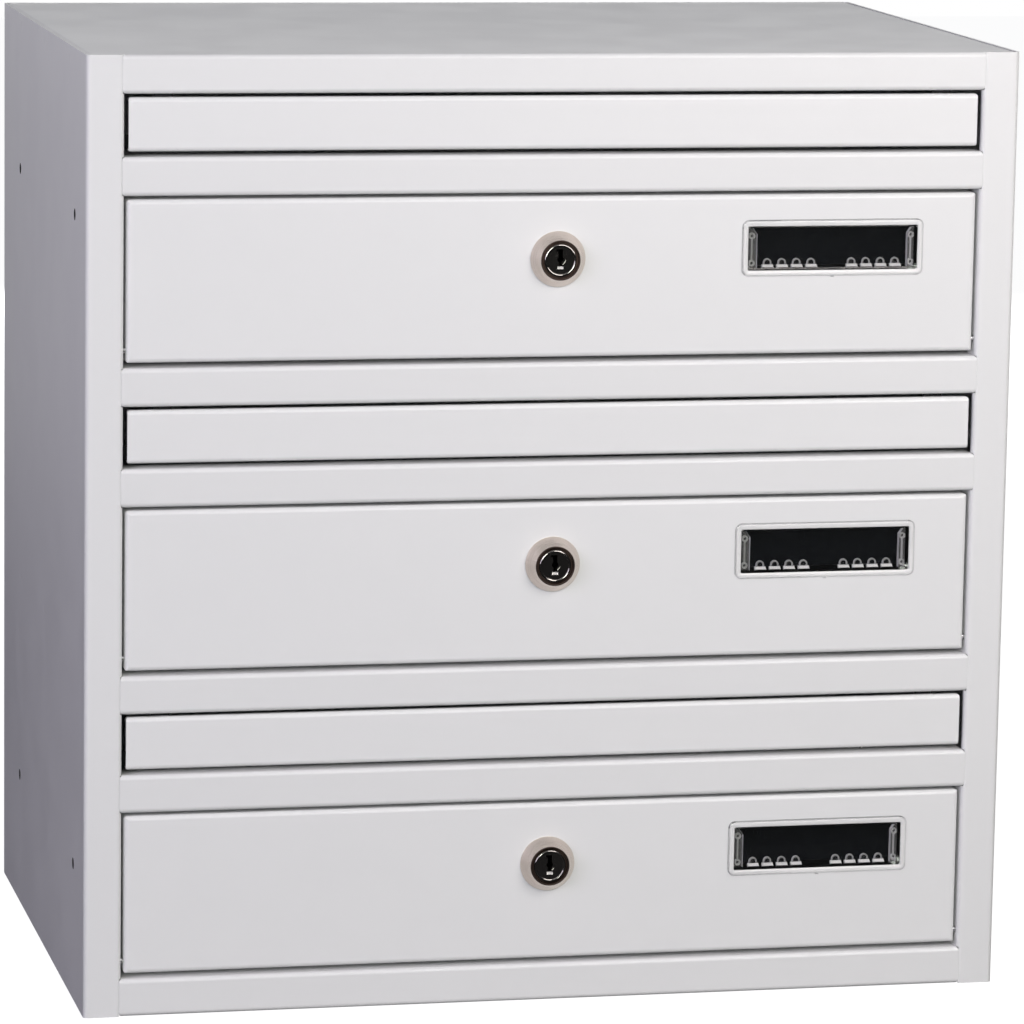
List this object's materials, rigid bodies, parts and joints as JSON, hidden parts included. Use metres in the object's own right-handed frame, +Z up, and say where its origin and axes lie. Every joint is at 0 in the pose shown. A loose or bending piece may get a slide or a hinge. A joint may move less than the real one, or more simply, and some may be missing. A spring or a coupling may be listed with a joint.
{
  "type": "mailbox unit",
  "caption": "Sheet-steel mailbox unit with stacked letter compartments, each with an inward slot flap and a locking drop-down door with a name window.",
  "frame": {"origin": "middle of the casing's footprint, on the surface that the unit stands on", "axes": "+X to the right seen from the front, +Y from the front to the back, +Z up"},
  "size_m": [0.4, 0.2739, 0.4071],
  "materials": {
    "casing_paint": "white powder coat, satin",
    "front_paint": "white powder coat, satin",
    "bright_steel": "turned",
    "zinc_steel": "zinc plated",
    "nickel": "satin nickel plate",
    "clear_plastic": "clear, glossy",
    "black_plastic": "matt"
  },
  "bodies": {
    "casing": {"side_panel_left": "casing_paint", "side_panel_right": "casing_paint", "top_panel": "casing_paint", "back_panel": "casing_paint", "floor_1": "casing_paint", "floor_2": "casing_paint", "floor_3": "casing_paint", "slot_rail_1": "casing_paint", "slot_rail_2": "casing_paint", "slot_rail_3": "casing_paint", "flap_pins_1": "bright_steel", "flap_pins_2": "bright_steel", "flap_pins_3": "bright_steel"},
    "flap_1": {"flap_1": "front_paint"},
    "door_1": {"door_1": "front_paint", "door_pins_1": "bright_steel", "lock_housing_1": "nickel", "lock_nut_1": "zinc_steel", "name_window_1": "clear_plastic", "window_backing_1": "black_plastic"},
    "lock_1": {"lock_plug_1": "nickel", "lock_cam_1": "zinc_steel", "cam_screw_1": "zinc_steel"},
    "flap_2": {"flap_2": "front_paint"},
    "door_2": {"door_2": "front_paint", "door_pins_2": "bright_steel", "lock_housing_2": "nickel", "lock_nut_2": "zinc_steel", "name_window_2": "clear_plastic", "window_backing_2": "black_plastic"},
    "lock_2": {"lock_plug_2": "nickel", "lock_cam_2": "zinc_steel", "cam_screw_2": "zinc_steel"},
    "flap_3": {"flap_3": "front_paint"},
    "door_3": {"door_3": "front_paint", "door_pins_3": "bright_steel", "lock_housing_3": "nickel", "lock_nut_3": "zinc_steel", "name_window_3": "clear_plastic", "window_backing_3": "black_plastic"},
    "lock_3": {"lock_plug_3": "nickel", "lock_cam_3": "zinc_steel", "cam_screw_3": "zinc_steel"}
  },
  "joints": [
    {"name": "flap_swing_1", "type": "hinge", "parent": "casing", "child": "flap_1", "pos_m": [0, -0.13047, 0.39493], "axis": [1, 0, 0], "range_deg": [0, 80]},
    {"name": "door_drop_1", "type": "hinge", "parent": "casing", "child": "door_1", "pos_m": [0, -0.1297, 0.2839], "axis": [1, 0, 0], "range_deg": [0, 110]},
    {"name": "lock_turn_1", "type": "hinge", "parent": "door_1", "child": "lock_1", "pos_m": [0, -0.1132, 0.3206], "axis": [0, 1, 0], "range_deg": [0, 90]},
    {"name": "flap_swing_2", "type": "hinge", "parent": "casing", "child": "flap_2", "pos_m": [0, -0.13047, 0.26463], "axis": [1, 0, 0], "range_deg": [0, 80]},
    {"name": "door_drop_2", "type": "hinge", "parent": "casing", "child": "door_2", "pos_m": [0, -0.1297, 0.1536], "axis": [1, 0, 0], "range_deg": [0, 110]},
    {"name": "lock_turn_2", "type": "hinge", "parent": "door_2", "child": "lock_2", "pos_m": [0, -0.1132, 0.1903], "axis": [0, 1, 0], "range_deg": [0, 90]},
    {"name": "flap_swing_3", "type": "hinge", "parent": "casing", "child": "flap_3", "pos_m": [0, -0.13047, 0.13433], "axis": [1, 0, 0], "range_deg": [0, 80]},
    {"name": "door_drop_3", "type": "hinge", "parent": "casing", "child": "door_3", "pos_m": [0, -0.1297, 0.0233], "axis": [1, 0, 0], "range_deg": [0, 110]},
    {"name": "lock_turn_3", "type": "hinge", "parent": "door_3", "child": "lock_3", "pos_m": [0, -0.1132, 0.06], "axis": [0, 1, 0], "range_deg": [0, 90]}
  ]
}
